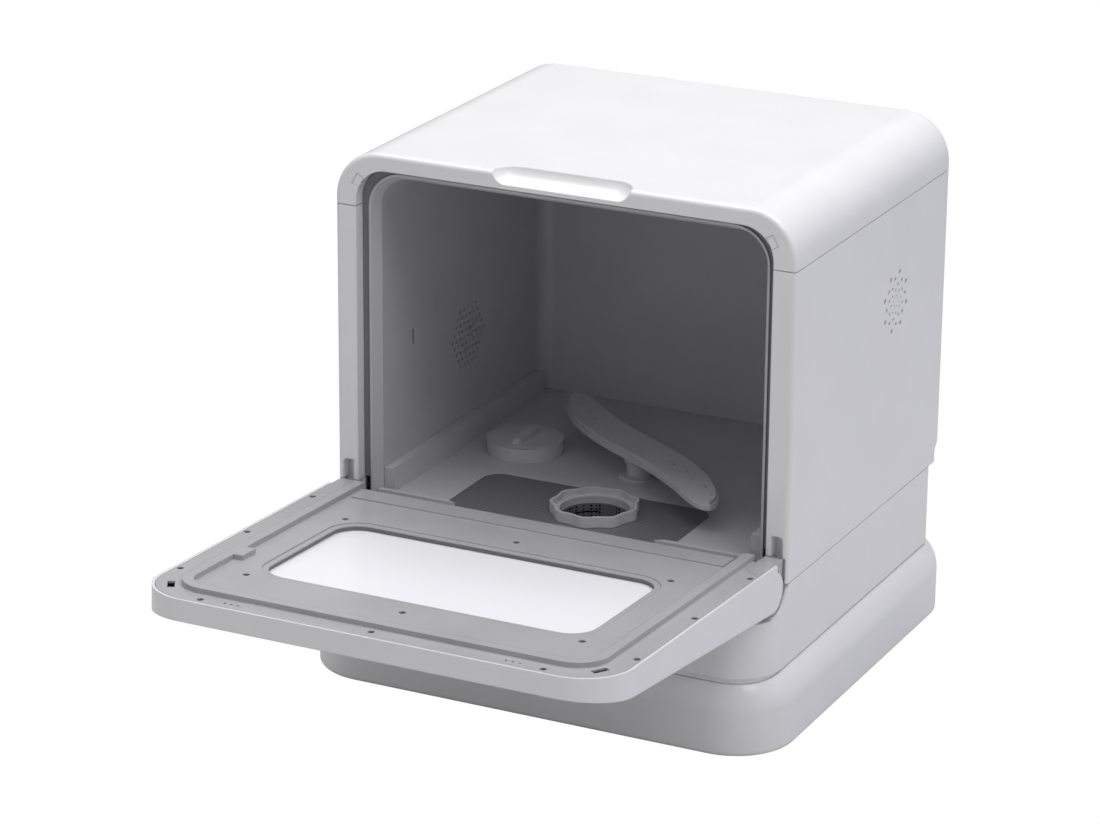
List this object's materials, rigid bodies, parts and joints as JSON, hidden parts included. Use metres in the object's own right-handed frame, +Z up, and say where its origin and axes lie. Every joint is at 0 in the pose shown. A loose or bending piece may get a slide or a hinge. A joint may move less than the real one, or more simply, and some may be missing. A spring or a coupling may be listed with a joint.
{
  "type": "countertop dishwasher",
  "caption": "Countertop dishwasher with a rounded white case, a drop-down door with a glass window, a grey tub with a turning spray arm, and a wide rounded base.",
  "frame": {"origin": "middle of the footprint with the door open, on the surface that the feet stand on", "axes": "+Z up, -Y towards the front where the door opens, +X to the right seen from the front"},
  "size_m": [0.42, 0.6678, 0.44],
  "materials": {
    "case_white": "moulded, semi-gloss",
    "door_white": "moulded, semi-gloss",
    "door_grey": "moulded, satin",
    "tub_grey": "moulded, satin",
    "fitting_grey": "moulded, satin",
    "dark_plastic": "moulded",
    "white_plastic": "moulded",
    "rubber": "matt",
    "filter_mesh": "fine mesh",
    "steel": "plated",
    "glass": "clear, toughened",
    "board": "lacquered",
    "panel_black": "gloss, bare"
  },
  "bodies": {
    "cabinet": {"base_housing": "case_white", "foot_plate": "case_white", "rubber_feet": "rubber", "lower_body": "case_white", "side_shell": "case_white", "top_cover": "case_white", "rear_panel": "case_white", "rear_screws": "steel", "tub": "tub_grey", "tub_floor": "tub_grey", "tub_gasket": "rubber", "spray_post": "dark_plastic", "filter_plate": "filter_mesh", "salt_tank": "fitting_grey", "sump": "dark_plastic", "wash_pump": "dark_plastic", "drain_pump": "dark_plastic", "heater": "steel", "pump_mounts": "rubber", "feed_hose": "rubber", "drain_hose": "rubber", "inlet_valve": "white_plastic", "inlet_hose": "rubber", "drain_outlet": "dark_plastic", "cord_gland": "dark_plastic", "power_board": "board", "float_guide": "dark_plastic", "fan_housing": "dark_plastic", "fan_motor": "dark_plastic", "air_duct": "dark_plastic", "exhaust_duct": "dark_plastic", "catch_magnets": "steel", "hinge_brackets": "steel", "hinge_pins": "steel", "hinge_springs": "steel"},
    "door": {"door_outer": "door_white", "door_inner": "door_grey", "door_glass": "glass", "front_glass": "glass", "window_seal": "rubber", "sill_seal": "door_grey", "door_screws": "steel", "hinge_covers": "door_grey", "hinge_arms": "steel", "strike_plates": "steel", "control_board": "board", "touch_panel": "panel_black"},
    "spray_arm": {"spray_arm": "fitting_grey"},
    "filter": {"filter_cup": "fitting_grey", "filter_sleeve": "filter_mesh"},
    "salt_cap": {"salt_cap": "fitting_grey"},
    "leak_float": {"leak_float": "white_plastic"},
    "wash_impeller": {"wash_impeller": "white_plastic"},
    "drain_impeller": {"drain_impeller": "white_plastic"},
    "fan_wheel": {"fan_wheel": "dark_plastic"}
  },
  "joints": [
    {"name": "door_hinge", "type": "hinge", "parent": "cabinet", "child": "door", "pos_m": [0, -0.03473, 0.1403], "axis": [-1, 0, 0], "range_deg": [0, 87.2]},
    {"name": "spray_arm_spin", "type": "hinge", "parent": "cabinet", "child": "spray_arm", "pos_m": [0.004, 0.13387, 0.17], "axis": [0, 0, 1], "continuous": true},
    {"name": "filter_twist", "type": "hinge", "parent": "cabinet", "child": "filter", "pos_m": [0.008, 0.04037, 0.14], "axis": [0, 0, 1], "range_deg": [0, 90]},
    {"name": "salt_cap_twist", "type": "hinge", "parent": "cabinet", "child": "salt_cap", "pos_m": [-0.108, 0.14587, 0.155], "axis": [0, 0, 1], "range_deg": [0, 90]},
    {"name": "leak_float_lift", "type": "slide", "parent": "cabinet", "child": "leak_float", "axis": [0, 0, 1], "range_m": [0, 0.012]},
    {"name": "wash_impeller_spin", "type": "hinge", "parent": "cabinet", "child": "wash_impeller", "pos_m": [0.085, 0.04037, 0.1], "axis": [1, 0, 0], "continuous": true},
    {"name": "drain_impeller_spin", "type": "hinge", "parent": "cabinet", "child": "drain_impeller", "pos_m": [-0.065, 0.04037, 0.098], "axis": [1, 0, 0], "continuous": true},
    {"name": "fan_wheel_spin", "type": "hinge", "parent": "cabinet", "child": "fan_wheel", "pos_m": [0.182, 0.19787, 0.311], "axis": [1, 0, 0], "continuous": true}
  ]
}
